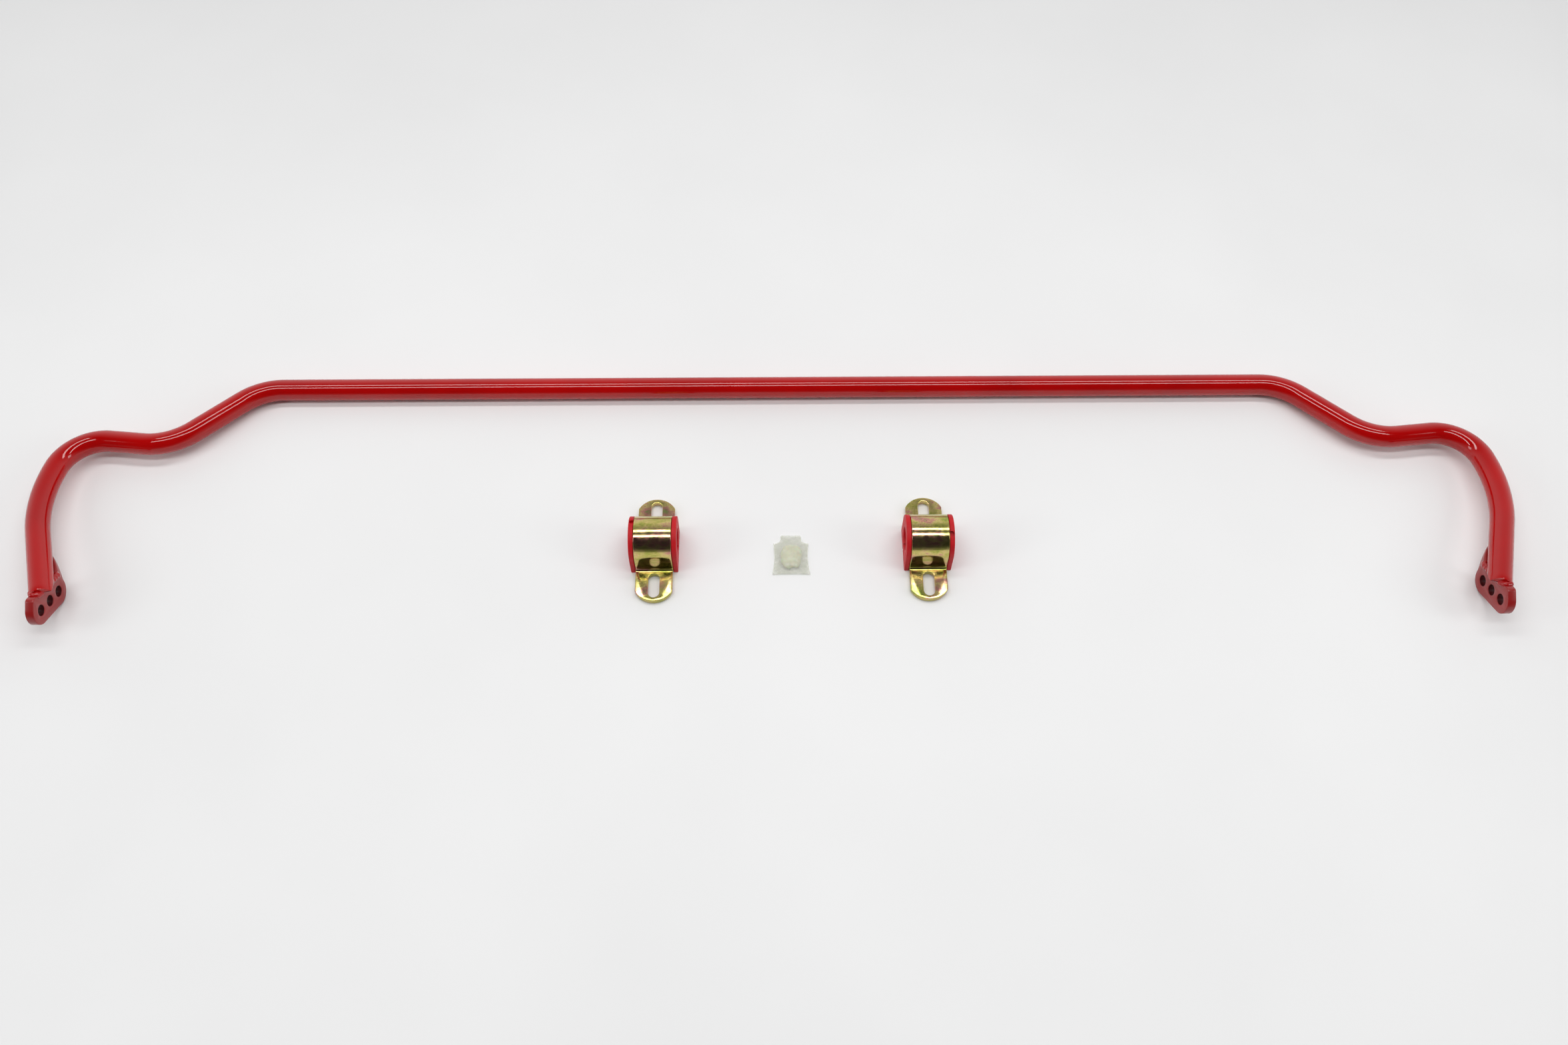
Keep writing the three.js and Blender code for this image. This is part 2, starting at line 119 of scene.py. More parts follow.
FIRST_HOLE = Vector((ARM_END_FORWARD - FIRST_HOLE_BACK, -FIRST_HOLE_DROP))
BAR_AXIS_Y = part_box("bar")[1].y - BAR_R
REST_TILT = math.asin((LOBE_R - BAR_R) / FIRST_HOLE.length) - math.atan2(FIRST_HOLE.y, FIRST_HOLE.x)
BAR_PLANE = Matrix.Translation((0, BAR_AXIS_Y, BAR_R)) @ Matrix.Rotation(-REST_TILT, 4, "X")

ROW = Vector((math.cos(ROW_ANGLE), math.sin(ROW_ANGLE)))
ROW_UP = Vector((-ROW.y, ROW.x))
HOLES = [FIRST_HOLE + ROW * (HOLE_PITCH * i) for i in range(HOLE_COUNT)]
CROSSING = (-FIRST_HOLE.y - PLATE_RISE * ROW_UP.y) / ROW.y
MITRE = FIRST_HOLE + ROW * CROSSING + ROW_UP * PLATE_RISE
ROOT_BACK = CROSSING + PLATE_CORNER_R
ROOT_FRONT = (HOLE_COUNT - 1) * HOLE_PITCH - CROSSING + PLATE_CORNER_R
ARM_TIP = (ARM_END_FORWARD - MITRE.x) / ROW.x


# ---- mesh helpers -------------------------------------------------------------------------
def centre(node):
    low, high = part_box(node)
    return (low + high) / 2


def half_width(node):
    low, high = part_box(node)
    return (high.x - low.x) / 2


def on_floor_at(node):
    """Takes a piece drawn about the origin to the middle of a node's box in plan."""
    return Matrix.Translation((centre(node).x, centre(node).y, 0))


def new_object(name, bm, sharp=SMOOTH_ANGLE):
    bmesh.ops.recalc_face_normals(bm, faces=bm.faces)
    mesh = bpy.data.meshes.new(name)
    bm.to_mesh(mesh)
    bm.free()
    obj = bpy.data.objects.new(name, mesh)
    bpy.context.scene.collection.objects.link(obj)
    smooth(obj, sharp)
    return obj


def smooth(obj, sharp=SMOOTH_ANGLE):
    mesh = obj.data
    mesh.polygons.foreach_set("use_smooth", [True] * len(mesh.polygons))
    mesh.set_sharp_from_angle(angle=sharp)


def apply_modifiers(obj):
    """Keeps the evaluated mesh, so that no modifier is left on the piece."""
    graph = bpy.context.evaluated_depsgraph_get()
    mesh = bpy.data.meshes.new_from_object(obj.evaluated_get(graph))
    obj.modifiers.clear()
    obj.data = mesh
    return obj


def cut(obj, tool, operation="DIFFERENCE"):
    modifier = obj.modifiers.new("cut", "BOOLEAN")
    modifier.operation = operation
    modifier.solver = "EXACT"
    modifier.object = tool
    bpy.context.view_layer.update()
    apply_modifiers(obj)
    bpy.data.objects.remove(tool)
    return obj


def round_edges(obj, width, segments=3):
    modifier = obj.modifiers.new("edge", "BEVEL")
    modifier.width = width
    modifier.segments = segments
    modifier.limit_method = "ANGLE"
    modifier.angle_limit = BEVEL_ANGLE
    modifier.use_clamp_overlap = False
    apply_modifiers(obj)
    smooth(obj)
    return obj


def arc(cx, cy, r, start, end, steps):
    """Points on an arc in degrees, both ends included."""
    angles = [math.radians(start + (end - start) * i / steps) for i in range(steps + 1)]
    return [(cx + r * math.cos(a), cy + r * math.sin(a)) for a in angles]


def loft(rings, name, sharp=SMOOTH_ANGLE, closed=False):
    """Rings of equal length joined in order, with end faces, or last to first if closed."""
    bm = bmesh.new()
    rows = [[bm.verts.new(p) for p in ring] for ring in rings]
    count = len(rows[0])
    pairs = list(zip(rows, rows[1:]))
    if closed:
        pairs.append((rows[-1], rows[0]))
    for a, b in pairs:
        for i in range(count):
            j = (i + 1) % count
            bm.faces.new((a[i], a[j], b[j], b[i]))
    if not closed:
        bm.faces.new(rows[0])
        bm.faces.new(rows[-1])
    return new_object(name, bm, sharp)


def prism(points, low, high, name):
    """Outline in (x, y) raised between two heights."""
    return loft([[(x, y, low) for x, y in points], [(x, y, high) for x, y in points]], name)


def belt(discs, steps=96):
    """Outline that a belt takes around discs given as (x, y, r), anticlockwise."""
    points = sorted(p for x, y, r in discs for p in arc(x, y, r, 0, 360, steps)[:-1])

    def chain(ordered):
        kept = []
        for p in ordered:
            while len(kept) > 1:
                (ax, ay), (bx, by) = kept[-2], kept[-1]
                if (bx - ax) * (p[1] - ay) - (by - ay) * (p[0] - ax) > 1e-12:
                    break
                kept.pop()
            kept.append(p)
        return kept[:-1]

    return chain(points) + chain(points[::-1])


def on_mitre(along, up):
    return MITRE + ROW * along + ROW_UP * up


# ---- material helpers ---------------------------------------------------------------------
def fill_ramp(node, stops):
    elements = node.color_ramp.elements
    while len(elements) < len(stops):
        elements.new(0.5)
    for element, (position, colour) in zip(elements, stops):
        element.position = position
        element.color = (*colour, 1)


class Nodes:
    """Short way to write a material's node tree around one Principled shader."""

    def __init__(self, name):
        self.material = bpy.data.materials.new(name)
        self.material.use_nodes = True
        self.tree = self.material.node_tree
        self.shader = self.tree.nodes["Principled BSDF"]
        self.place = self.add("ShaderNodeTexCoord").outputs["Object"]

    def add(self, kind, **settings):
        node = self.tree.nodes.new(kind)
        for key, value in settings.items():
            setattr(node, key, value)
        return node

    def link(self, source, target):
        self.tree.links.new(source, target)

    def set(self, **values):
        for key, value in values.items():
            self.shader.inputs[key.replace("_", " ")].default_value = value

    def stretched(self, scale):
        mapping = self.add("ShaderNodeMapping")
        mapping.inputs["Scale"].default_value = scale
        self.link(self.place, mapping.inputs["Vector"])
        return mapping.outputs["Vector"]

    def noise(self, scale, detail=4, stretch=(1, 1, 1), roughness=0.55):
        node = self.add("ShaderNodeTexNoise")
        node.inputs["Scale"].default_value = scale
        node.inputs["Detail"].default_value = detail
        node.inputs["Roughness"].default_value = roughness
        self.link(self.stretched(stretch), node.inputs["Vector"])
        return node.outputs["Fac"]

    def ramp(self, source, stops):
        node = self.add("ShaderNodeValToRGB")
        fill_ramp(node, stops)
        self.link(source, node.inputs["Fac"])
        return node.outputs["Color"]

    def span(self, source, low, high, from_low=0.3, from_high=0.7):
        node = self.add("ShaderNodeMapRange")
        node.inputs["From Min"].default_value = from_low
        node.inputs["From Max"].default_value = from_high
        node.inputs["To Min"].default_value = low
        node.inputs["To Max"].default_value = high
        self.link(source, node.inputs["Value"])
        return node.outputs["Result"]

    def mix(self, factor, a, b, blend="MIX"):
        node = self.add("ShaderNodeMix", data_type="RGBA", blend_type=blend)
        for value, socket in ((factor, node.inputs[0]), (a, node.inputs[6]), (b, node.inputs[7])):
            if hasattr(value, "links"):
                self.link(value, socket)
            else:
                socket.default_value = value
        return node.outputs[2]

    def bump(self, *layers):
        """Each layer is (height, strength, depth in metres)."""
        normal = None
        for height, strength, depth in layers:
            node = self.add("ShaderNodeBump")
            node.inputs["Strength"].default_value = strength
            node.inputs["Distance"].default_value = depth
            self.link(height, node.inputs["Height"])
            if normal:
                self.link(normal, node.inputs["Normal"])
            normal = node.outputs["Normal"]
        self.link(normal, self.shader.inputs["Normal"])


def red_coat(name, deep, bright, roughness):
    """Glossy powder coat: faint orange peel, slow drift of colour, a few dust nibs."""
    n = Nodes(name)
    drift = n.noise(14, 3)
    n.link(n.ramp(drift, [(0.3, deep), (0.7, bright)]), n.shader.inputs["Base Color"])
    n.link(n.span(n.noise(60, 5), roughness - 0.02, roughness + 0.05), n.shader.inputs["Roughness"])
    n.set(Coat_Weight=0.25, Coat_Roughness=0.03, Specular_IOR_Level=0.4)
    n.bump((n.noise(420, 2), 0.07, 0.00006), (n.noise(1900, 2), 0.04, 0.00002))
    return n.material


def hole_painted_shade():
    """Painted shade inside a drilled hole: the wall is coloured dark and uneven to stand for the
    shadow there.
    """
    n = Nodes("hole_painted_shade_finish")
    # painted shade: near-black reds stand for the shadow inside the holes
    wall_shade = n.ramp(n.noise(500, 4), [(0.3, (0.035, 0.0008, 0.0012)), (0.7, (0.075, 0.002, 0.003))])
    n.link(wall_shade, n.shader.inputs["Base Color"])
    n.link(n.span(n.noise(700, 3), 0.3, 0.5), n.shader.inputs["Roughness"])
    n.set(Specular_IOR_Level=0.3)
    n.bump((n.noise(1500, 3), 0.3, 0.00006))
    return n.material


def yellow_zinc():
    """Bright passivated zinc: gold drifting to pink and green, mottled, with fine dark specks."""
    n = Nodes("yellow_zinc_finish")
    hue = n.ramp(n.noise(80, 6, (0.6, 1, 1), 0.65), [
        (0.30, (0.24, 0.36, 0.06)),
        (0.42, (0.50, 0.46, 0.12)),
        (0.51, (0.68, 0.55, 0.22)),
        (0.60, (0.62, 0.27, 0.24)),
        (0.70, (0.30, 0.40, 0.12)),
    ])
    speck = n.ramp(n.noise(1400, 3, (1, 1, 1), 0.8), [(0.34, (0.25, 0.2, 0.1)), (0.46, (1, 1, 1))])
    n.link(n.mix(0.7, hue, speck, "MULTIPLY"), n.shader.inputs["Base Color"])
    n.link(n.span(n.noise(240, 5), 0.09, 0.2), n.shader.inputs["Roughness"])
    n.set(Metallic=1.0)
    n.bump((n.noise(500, 3, (0.3, 1, 1)), 0.12, 0.00008), (n.noise(2600, 2), 0.1, 0.00002))
    return n.material


def polyurethane():
    """Cast polyurethane: satin, with a soft bloom and moulding texture."""
    n = Nodes("polyurethane_finish")
    cloud = n.noise(110, 5)
    n.link(n.ramp(cloud, [(0.3, (0.47, 0.004, 0.009)), (0.7, (0.57, 0.010, 0.015))]),
           n.shader.inputs["Base Color"])
    n.link(n.span(n.noise(300, 5), 0.42, 0.6), n.shader.inputs["Roughness"])
    n.set(Subsurface_Weight=0.08, Subsurface_Scale=0.003, Specular_IOR_Level=0.25)
    n.bump((n.noise(900, 4), 0.2, 0.00006))
    return n.material


def clear_film():
    """Thin heat-sealed film: clear, faintly milky, with fine creases."""
    n = Nodes("film_finish")
    n.link(n.ramp(n.noise(160, 4), [(0.3, (0.78, 0.80, 0.67)), (0.7, (0.88, 0.89, 0.80))]),
           n.shader.inputs["Base Color"])
    n.link(n.span(n.noise(300, 4), 0.06, 0.18), n.shader.inputs["Roughness"])
    n.link(n.span(n.noise(220, 4), 0.14, 0.3), n.shader.inputs["Alpha"])
    n.set(IOR=1.45)
    n.bump((n.noise(420, 6, (1, 0.5, 1), 0.7), 0.4, 0.0002))
    return n.material


def grease_finish():
    """Translucent pale grease with trapped streaks."""
    n = Nodes("grease_finish")
    n.link(n.ramp(n.noise(190, 6), [(0.3, (0.60, 0.60, 0.41)), (0.7, (0.72, 0.72, 0.55))]),
           n.shader.inputs["Base Color"])
    n.link(n.span(n.noise(260, 3), 0.16, 0.34), n.shader.inputs["Roughness"])
    n.set(Subsurface_Weight=0.5, Subsurface_Scale=0.004)
    n.bump((n.noise(380, 4), 0.4, 0.0003))
    return n.material


def finish(obj, material, body, nodes):
    if obj.data.materials:
        obj.data.materials[0] = material
    else:
        obj.data.materials.append(material)
    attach(obj, body)
    if nodes:
        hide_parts(*nodes)


# ---- bar ----------------------------------------------------------------------------------
def bar_centreline():
    """Points (x, forward) from the bar's middle out to one arm's end."""
    place = Vector((0.0, 0.0))
    heading = 0.0
    points = []

    def run(length, steps):
        nonlocal place
        step = Vector((math.cos(heading), math.sin(heading))) * (length / steps)
        for _ in range(steps):
            points.append(place.copy())
            place = place + step

    def turn(radius, angle, steps):
        nonlocal place, heading
        side = math.copysign(1, angle)
        hub = place + Vector((-math.sin(heading), math.cos(heading))) * (side * radius)
        start = place - hub
        for i in range(steps):
            a = angle * i / steps
            points.append(hub + Matrix.Rotation(a, 2) @ start)
        place = hub + Matrix.Rotation(angle, 2) @ start
        heading += angle

    shoulder = math.atan2(SHOULDER_FORWARD, SHOULDER_OUT)
    first = KNEE_R * math.tan(shoulder / 2)
    second = KNEE_R * math.tan((shoulder + LEAN) / 2)
    run(STRAIGHT_HALF - first, 30)
    turn(KNEE_R, shoulder, 20)
    run(math.hypot(SHOULDER_OUT, SHOULDER_FORWARD) - first - second, 8)
    turn(KNEE_R, -shoulder - LEAN, 22)
    run(OUTER_RUN, 6)
    turn(ARM_BEND_R, ARM_BEND, 36)
    turn(ARM_SWEEP_R, LEAN + math.pi / 2 + ARM_TOE - ARM_BEND, 28)
    run((ARM_END_FORWARD - place.y) / math.sin(heading), 12)
    points.append(place.copy())
    return points


def make_bar():
    half = bar_centreline()
    line = [Vector((-p.x, -p.y, 0)) for p in half[:0:-1]] + [Vector((p.x, -p.y, 0)) for p in half]
    sides = 64
    rings = []
    for i, p in enumerate(line):
        along = (line[min(i + 1, len(line) - 1)] - line[max(i - 1, 0)]).normalized()
        across = along.cross(Vector((0, 0, 1)))
        ring = []
        for k in range(sides):
            a = 2 * math.pi * k / sides
            ring.append(p + (across * math.cos(a) + Vector((0, 0, 1)) * math.sin(a)) * BAR_R)
        rings.append(ring)
    obj = loft(rings, "bar_body")
    bm = bmesh.new()
    bm.from_mesh(obj.data)
    cut_point = Vector((0, -MITRE.x, MITRE.y))
    outward = Vector((0, ROW_UP.x, -ROW_UP.y))
    result = bmesh.ops.bisect_plane(bm, geom=bm.verts[:] + bm.edges[:] + bm.faces[:],
                                    plane_co=cut_point, plane_no=outward, clear_outer=True)
    rim = [e for e in result["geom_cut"] if isinstance(e, bmesh.types.BMEdge)]
    bmesh.ops.holes_fill(bm, edges=rim, sides=0)
    bmesh.ops.recalc_face_normals(bm, faces=bm.faces)
    bm.to_mesh(obj.data)
    bm.free()
    round_edges(obj, BAR_EDGE, 2)
    obj.data.transform(BAR_PLANE)
    return obj


# ---- end plates and welds -----------------------------------------------------------------
def plate_discs():
    back = on_mitre(-ROOT_BACK, -PLATE_CORNER_R)
    front = on_mitre(ROOT_FRONT, -PLATE_CORNER_R)
    return [(*HOLES[0], LOBE_R), (*HOLES[-1], LOBE_R),
            (*back, PLATE_CORNER_R), (*front, PLATE_CORNER_R)]


def in_bar_plane(x):
    """Takes a drawing (forward, up) with its depth along +Z to the plane of a plate at x."""
    axes = Matrix(((0, 0, 1, x), (-1, 0, 0, 0), (0, 1, 0, 0), (0, 0, 0, 1)))
    return BAR_PLANE @ axes


def soft_rectangle(wide, tall, power=5, steps=28):
    """Rectangle with rounded corners, as (across, up) from its middle."""
    points = []
    for i in range(steps):
        a = 2 * math.pi * i / steps
        c, d = math.cos(a), math.sin(a)
        points.append((math.copysign(wide * abs(c) ** (2 / power), c),
                       math.copysign(tall * abs(d) ** (2 / power), d)))
    return points


def make_web(half, side):
    """Hollow-edged web that runs from the first lobe back into the inner side of the arm."""
    reach = math.sqrt((LOBE_R + WEB_R) ** 2 - (FIRST_HOLE.y + BAR_R + WEB_R) ** 2)
    hub = Vector((FIRST_HOLE.x - reach, -BAR_R - WEB_R))
    start = hub.x + WEB_R * reach / (LOBE_R + WEB_R)
    steps = 24
    top, top_rise = 0.6 * BAR_R, 0.2 * BAR_R
    sink = 0.45 * BAR_R  # how far the web's far end goes into the arm's side
    taper = 0.35
    overlap = 2 * MM  # how far its near end runs into the plate
    rings = []
    for i in range(steps + 1):
        t = i / steps
        forward = start + (hub.x - start) * t
        under = hub.y + math.sqrt(max(0.0, WEB_R ** 2 - (forward - hub.x) ** 2)) + WEB_SINK * t ** 2
        over = -top + top_rise * t
        arm = (MITRE.x - forward) * math.tan(ARM_TOE)
        across = side * (arm - sink) * t
        wide = half * (1 - taper * t)
        ring = soft_rectangle(wide, (over - under) / 2)
        rings.append([(forward, (over + under) / 2 + up, across + out) for out, up in ring])
    rings.insert(0, [(FIRST_HOLE.x - LOBE_R + overlap, up, out) for _, up, out in rings[0]])
    return loft(rings, "web")


def join_into(obj, extra):
    """Adds another closed body to a piece."""
    bm = bmesh.new()
    bm.from_mesh(obj.data)
    bm.from_mesh(extra.data)
    bm.to_mesh(obj.data)
    bm.free()
    bpy.data.objects.remove(extra)
    smooth(obj)


def make_plate(name, side):
    half = half_width(name)
    obj = prism(belt(plate_discs()), -half, half, f"{name}_body")
    for hole in HOLES:
        ring = arc(*hole, HOLE_D / 2, 0, 360, 48)[:-1]
        cut(obj, prism(ring, -2 * half, 2 * half, "hole"))
    round_edges(obj, PLATE_EDGE)
    join_into(obj, make_web(half, side))
    return obj


def place_plate(obj, name):
    """Gives the hole walls a painted shade material, then moves the drawing to its place on the
    bar.
    """
    obj.data.materials.append(plate_coat)
    obj.data.materials.append(painted_hole_shade)
    half = half_width(name)
    past_wall, off_face = 0.2 * MM, 0.3 * MM
    # faces on the hole walls take the painted shade material
    for face in obj.data.polygons:
        for hole in HOLES:
            off = (face.center.xy - hole).length
            if off < HOLE_D / 2 + past_wall and abs(face.center.z) < half - off_face:
                face.material_index = 1
    obj.data.transform(in_bar_plane(centre(name).x))


def make_weld(name, plate, side):
    """Rippled bead in a closed loop round the plate's root, under and before the arm's end."""
    half = half_width(plate)
    back, front = -ROOT_BACK + 1 * MM, ARM_TIP - 0.5 * MM
    along_steps, turn_steps, sides = 40, 14, 20
    path = [(half, front + (back - front) * i / along_steps) for i in range(along_steps + 1)]
    path += [(x, back - dy) for x, dy in arc(0, 0, half, 0, 180, turn_steps)[1:-1]]
    path += [(-half, back + (front - back) * i / along_steps) for i in range(along_steps + 1)]
    path += [(x, front - dy) for x, dy in arc(0, 0, half, 180, 360, turn_steps)[1:-1]]
    rng = random.Random(7 if side > 0 else 11)
    rings = []
    for i, (across, along) in enumerate(path):
        before, after = path[i - 1], path[(i + 1) % len(path)]
        t = Vector((after[0] - before[0], after[1] - before[1])).normalized()
        out = Vector((-t.y, t.x))
        ripple = BEAD_RIPPLE * math.sin(2 * math.pi * i * BEAD_RIPPLES / len(path))
        r = BEAD_R + ripple + rng.uniform(-BEAD_ROUGHNESS, BEAD_ROUGHNESS)
        ring = []
        for k in range(sides):
            a = 2 * math.pi * k / sides
            sideways = out * (r * math.cos(a))
            point = on_mitre(along + sideways.y, -0.4 * MM + r * math.sin(a))
            ring.append((point.x, point.y, across + sideways.x))
        rings.append(ring)
    obj = loft(rings, f"{name}_bead", math.radians(60), closed=True)
    obj.data.transform(in_bar_plane(centre(plate).x))
    return obj


# ---- bushings -----------------------------------------------------------------------------
def bushing_ring(r, inset):
    """Outline (y, z) of the D-shaped section with its bore and slit, drawn in by inset."""
    slit = SLIT_W / 2 + inset
    bore = BORE_R + inset
    outer = r - inset
    gap_angle = math.degrees(math.asin(slit / bore))
    outline = [(slit, inset), (outer, inset)]
    outline += arc(0, BORE_HEIGHT, outer, 0, 180, 56)
    outline += [(-outer, inset), (-slit, inset)]
    outline += arc(0, BORE_HEIGHT, bore, 270 - gap_angle, gap_angle - 90, 64)
    return outline


def make_bushing(name, turn):
    half = half_width(name)
    inner = half - FLANGE_T
    lip = BUSHING_EDGE
    stations = [(half, STRAP_OUT_R, lip), (half - 0.18 * MM, STRAP_OUT_R, lip * 0.3),
                (half - lip, STRAP_OUT_R, 0), (inner + 0.3 * MM, STRAP_OUT_R, 0),
                (inner, STRAP_OUT_R, 0.3 * MM), (inner, BUSHING_R, 0)]
    stations += [(-x, r, inset) for x, r, inset in stations[::-1]]
    rings = [[(x, y, z) for y, z in bushing_ring(r, inset)] for x, r, inset in stations]
    obj = loft(rings, f"{name}_moulding")
    gate = prism(arc(0, 0, GATE_R, 0, 360, 32)[:-1], -GATE_DEPTH, 3 * MM, "gate")
    gate.data.transform(Matrix.Translation((inner + GATE_R / 2, -STRAP_OUT_R * math.sin(GATE_TILT),
                                            BORE_HEIGHT + STRAP_OUT_R * math.cos(GATE_TILT)))
                        @ Matrix.Rotation(GATE_TILT, 4, "X"))
    cut(obj, gate)
    smooth(obj)
    obj.data.transform(on_floor_at(name) @ Matrix.Rotation(turn, 4, "Z"))
    return obj


# ---- brackets -----------------------------------------------------------------------------
def strap_section(reach):
    """Edge of the strap in (y, z)."""
    fold_in = FOLD_R + STRAP_T
    right = [(reach, 0), (reach, STRAP_T)]
    right += arc(STRAP_OUT_R + FOLD_R, STRAP_T + FOLD_R, FOLD_R, 270, 180, 12)
    outer = right + arc(0, BORE_HEIGHT, STRAP_OUT_R, 0, 90, 40)
    inner = arc(0, BORE_HEIGHT, STRAP_IN_R, 90, 0, 40)
    inner += arc(STRAP_IN_R + fold_in, fold_in, fold_in, 180, 270, 14)
    left = [(-y, z) for y, z in reversed(outer[:-1])]
    return outer + left + [(-y, z) for y, z in reversed(inner)] + inner[1:]


def make_bracket(name):
    low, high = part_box(name)
    half = (high.x - low.x) / 2
    reach = (high.y - low.y) / 2
    section = strap_section(reach)
    obj = loft([[(x, y, z) for y, z in section] for x in (-half, half)], f"{name}_strap")
    end_r = (half ** 2 + FOOT_SAGITTA ** 2) / (2 * FOOT_SAGITTA)
    sweep = math.degrees(math.asin(half / end_r))
    plan = arc(0, reach - end_r, end_r, 90 - sweep, 90 + sweep, 32)
    plan += [(-x, -y) for x, y in plan]
    clear = 1.0002  # keeps the cutter's sides off the strap's own
    plan = [(x * clear, y) for x, y in plan]
    cut(obj, prism(plan, -STRAP_T, 2.5 * BORE_HEIGHT, "plan"), "INTERSECT")
    end = SLOT_L / 2 - SLOT_W / 2
    for side in (-1, 1):
        slot = arc(0, side * SLOT_CENTRE + end, SLOT_W / 2, 0, 180, 24)
        slot += arc(0, side * SLOT_CENTRE - end, SLOT_W / 2, 180, 360, 24)
        cut(obj, prism(slot, -STRAP_T, 2 * STRAP_T, "slot"))
    round_edges(obj, BRACKET_EDGE)
    obj.data.transform(on_floor_at(name))
    return obj


# ---- sachet -------------------------------------------------------------------------------
def sachet_outline():
    """Pouch with drawn-in sides, hollow shoulders and a filling neck at the back."""
    low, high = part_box("sachet_lower_film")
    half = (high.x - low.x) / 2
    neck = NECK_W / 2
    shoulder = half - POUCH_TAPER
    side_steps, corner_steps, front_steps = 14, 8, 5
    side = []
    for i in range(side_steps + 1):
        t = i / side_steps
        across = half + (shoulder - half) * t - POUCH_PINCH * math.sin(math.pi * t)
        side.append((across, SACHET_L * t))
    corner = []
    for i in range(1, corner_steps + 1):
        a = math.pi / 2 * i / corner_steps
        corner.append((shoulder - (shoulder - neck) * math.sin(a),
                       SACHET_L + SHOULDER_R * (1 - math.cos(a))))
    top = arc(neck - NECK_CORNER_R, SACHET_L + NECK_L - NECK_CORNER_R, NECK_CORNER_R, 0, 90, 5)
    right = side + corner + top
    front = [(half * (1 - i / front_steps), FRONT_BOW * math.sin(math.pi / 2 * i / front_steps))
             for i in range(front_steps, 0, -1)]
    outline = front + right + [(-x, y) for x, y in (front + right)[:0:-1]]
    shift = Vector((centre("sachet_lower_film").x, high.y - SACHET_L - NECK_L))
    return [shift + Vector(p) for p in outline]


def dense(points, step):
    out = []
    for a, b in zip(points, points[1:] + points[:1]):
        count = max(1, round((b - a).length / step))
        out += [a + (b - a) * (i / count) for i in range(count)]
    return out


def blunt(x, y, power=2.8):
    """Distance from the middle of an oval whose sides are flattened."""
    return (abs(x) ** power + abs(y) ** power) ** (1 / power)


def make_film(name, upper):
    low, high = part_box(name)
    fill_low, fill_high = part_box("grease")
    middle = (fill_low + fill_high) / 2
    outline = dense(sachet_outline(), 0.8 * MM)
    hub = Vector((middle.x, middle.y))
    margin = 1 * MM
    reach = (fill_high - fill_low).xy / 2 + Vector((margin, margin))
    base = low.z + FILM_LIFT

    def height(p):
        d = blunt((p.x - hub.x) / reach.x, (p.y - hub.y) / reach.y)
        rise = max(0.0, 1 - d * d) ** 0.6 * (high.z - low.z - margin) if upper else 0.0
        crease = noise.noise(Vector((p.x * 420, p.y * 300, 3.0))) * FILM_CREASE
        seal = SEAL_RIB * math.sin(p.y * SEAL_RIB_RATE) if d > SEAL_FROM else 0.0
        return base + rise + abs(crease) + abs(seal)

    levels = 26
    bm = bmesh.new()
    sheets = []
    for lift in (0, FILM_T):
        hub_vert = bm.verts.new((hub.x, hub.y, height(hub) + lift))
        rows = []
        for level in range(1, levels + 1):
            t = level / levels
            ring = [hub + (p - hub) * t for p in outline]
            rows.append([bm.verts.new((p.x, p.y, height(p) + lift)) for p in ring])
        sheets.append((hub_vert, rows))
    count = len(outline)
    for hub_vert, rows in sheets:
        for i in range(count):
            j = (i + 1) % count
            bm.faces.new((hub_vert, rows[0][i], rows[0][j]))
            for a, b in zip(rows, rows[1:]):
                bm.faces.new((a[i], b[i], b[j], a[j]))
    under, over = sheets[0][1][-1], sheets[1][1][-1]
    for i in range(count):
        j = (i + 1) % count
        bm.faces.new((under[i], under[j], over[j], over[i]))
    return new_object(f"{name}_sheet", bm, math.radians(60))


def make_grease():
    low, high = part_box("grease")
    middle, half = (low + high) / 2, (high - low) / 2
    rings = []
    turns, levels = 56, 18
    fullness = 0.92  # share of the node's height
    least = 0.02  # keeps the top ring from closing to a point
    for level in range(levels + 1):
        a = math.pi / 2 * level / levels
        ring = []
        for k in range(turns):
            b = 2 * math.pi * k / turns
            wobble = 0.9 + 0.1 * noise.noise(Vector((math.cos(b) * 2, math.sin(b) * 2, a * 2)))
            r = max(math.cos(a), least) * wobble / blunt(math.cos(b), math.sin(b))
            ring.append((middle.x + half.x * r * math.cos(b), middle.y + half.y * r * math.sin(b),
                         low.z + (high.z - low.z) * fullness * math.sin(a)))
        rings.append(ring)
    return loft(rings, "grease_fill", math.radians(70))


coat = red_coat("red_coat_finish", (0.38, 0.0006, 0.0008), (0.48, 0.001, 0.0012), 0.07)
plate_coat = red_coat("plate_coat_finish", (0.26, 0.008, 0.008), (0.34, 0.013, 0.012), 0.3)
weld_coat = red_coat("weld_coat_finish", (0.32, 0.002, 0.003), (0.44, 0.005, 0.006), 0.12)
# painted shade for the hole walls
painted_hole_shade = hole_painted_shade()
zinc, rubber, film, grease = yellow_zinc(), polyurethane(), clear_film(), grease_finish()

finish(make_bar(), coat, "bar", ["bar"])
for prefix, side, turn in (("left", -1, math.pi), ("right", 1, 0)):
    plate, weld = f"{prefix}_end_plate", f"{prefix}_end_weld"
    bushing, bracket = f"{prefix}_bushing", f"{prefix}_bracket"
    plate_body = make_plate(plate, side)
    place_plate(plate_body, plate)
    finish(plate_body, plate_coat, "bar", [plate])
    finish(make_weld(weld, plate, side), weld_coat, "bar", [weld])
    finish(make_bushing(bushing, turn), rubber, "set_base", [bushing])
    finish(make_bracket(bracket), zinc, bracket, [bracket])
finish(make_film("sachet_lower_film", False), film, "set_base", ["sachet_lower_film"])
finish(make_film("sachet_upper_film", True), film, "set_base", ["sachet_upper_film"])
finish(make_grease(), grease, "set_base", ["grease"])


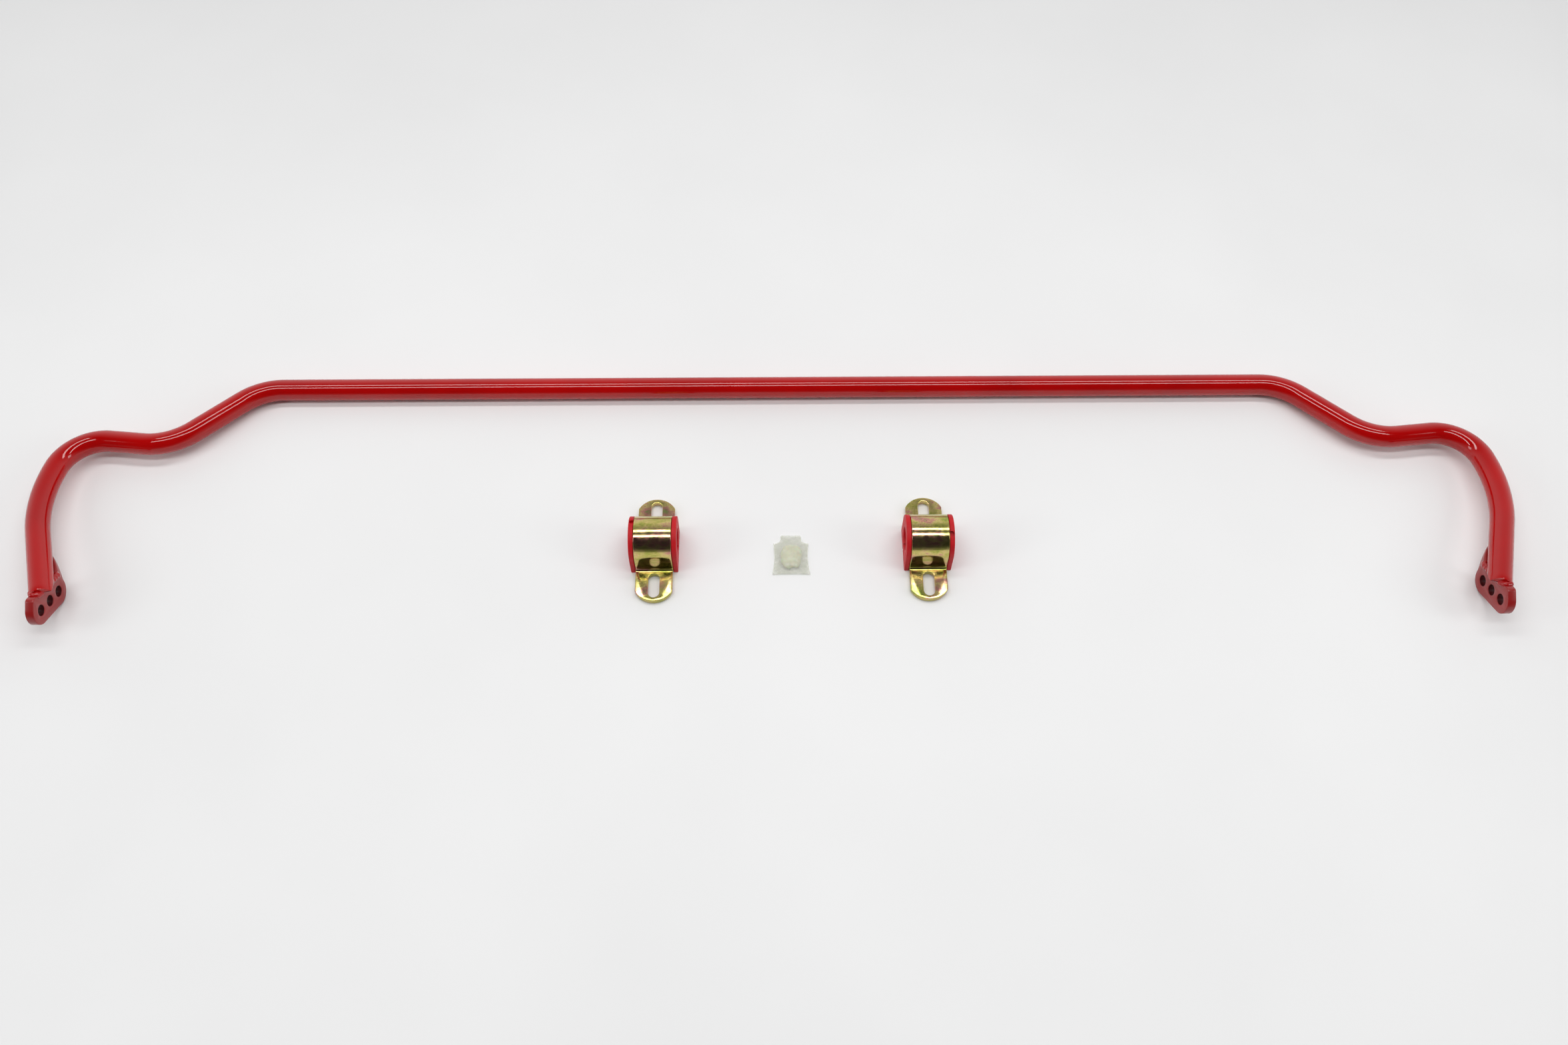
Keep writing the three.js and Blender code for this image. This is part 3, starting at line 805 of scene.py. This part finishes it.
# ---- floor, light and camera --------------------------------------------------------------
def make_floor():
    bm = bmesh.new()
    bmesh.ops.create_grid(bm, x_segments=2, y_segments=2, size=30)
    obj = new_object("floor", bm)
    obj.location.z = -0.0004
    n = Nodes("floor_finish")
    n.link(n.ramp(n.noise(3, 3), [(0.3, (0.88, 0.88, 0.88)), (0.7, (0.92, 0.92, 0.92))]),
           n.shader.inputs["Base Color"])
    n.set(Roughness=0.8, Specular_IOR_Level=0.1)
    obj.data.materials.append(n.material)


def soft_box(name, place, size, power, aim=(0, 0, 0)):
    data = bpy.data.lights.new(name, "AREA")
    data.shape = "RECTANGLE"
    data.size, data.size_y = size
    data.energy = power
    obj = bpy.data.objects.new(name, data)
    obj.location = place
    obj.rotation_euler = (Vector(aim) - Vector(place)).to_track_quat("-Z", "Y").to_euler()
    bpy.context.scene.collection.objects.link(obj)


def make_camera():
    data = bpy.data.cameras.new("camera")
    data.sensor_width = 36
    data.lens = 29.87
    data.clip_start = 0.01
    elevation, yaw, roll = math.radians(59.4), 0.023, 0.013
    obj = bpy.data.objects.new("camera", data)
    obj.matrix_world = (Matrix.Translation((-0.0047, BAR_AXIS_Y - 0.6665, 0.909))
                        @ Matrix.Rotation(-yaw, 4, "Z")
                        @ Matrix.Rotation(math.pi / 2 - elevation, 4, "X")
                        @ Matrix.Rotation(roll, 4, "Z"))
    bpy.context.scene.collection.objects.link(obj)
    bpy.context.scene.camera = obj


def make_world():
    """Pale at the back, sides and below, greyer in front and dark above, as in a photo studio."""
    world = bpy.data.worlds.new("studio")
    bpy.context.scene.world = world
    world.use_nodes = True
    tree = world.node_tree
    background = tree.nodes["Background"]
    direction = tree.nodes.new("ShaderNodeTexCoord")
    height = tree.nodes.new("ShaderNodeVectorMath")
    height.operation = "DOT_PRODUCT"
    height.inputs[1].default_value = (0, -0.6, 1)
    ramp = tree.nodes.new("ShaderNodeValToRGB")
    stops = ((0.0, 0.85), (0.3, 0.6), (0.62, 0.28), (0.85, 0.04))
    fill_ramp(ramp, [(position, (grey, grey, grey)) for position, grey in stops])
    tree.links.new(direction.outputs["Generated"], height.inputs[0])
    tree.links.new(height.outputs["Value"], ramp.inputs["Fac"])
    tree.links.new(ramp.outputs["Color"], background.inputs["Color"])
    background.inputs["Strength"].default_value = 1.0
    bpy.context.scene.view_settings.view_transform = "Standard"


make_floor()
make_world()
for name, y in (("front_strip", -0.40), ("back_strip", 0.48)):
    soft_box(name, (0, y, 1.9), size=(2.4, 0.24), power=14)
for name, x in (("left_side", -1.9), ("right_side", 1.9)):
    soft_box(name, (x, -0.5, 1.1), size=(0.5, 0.9), power=6)
make_camera()
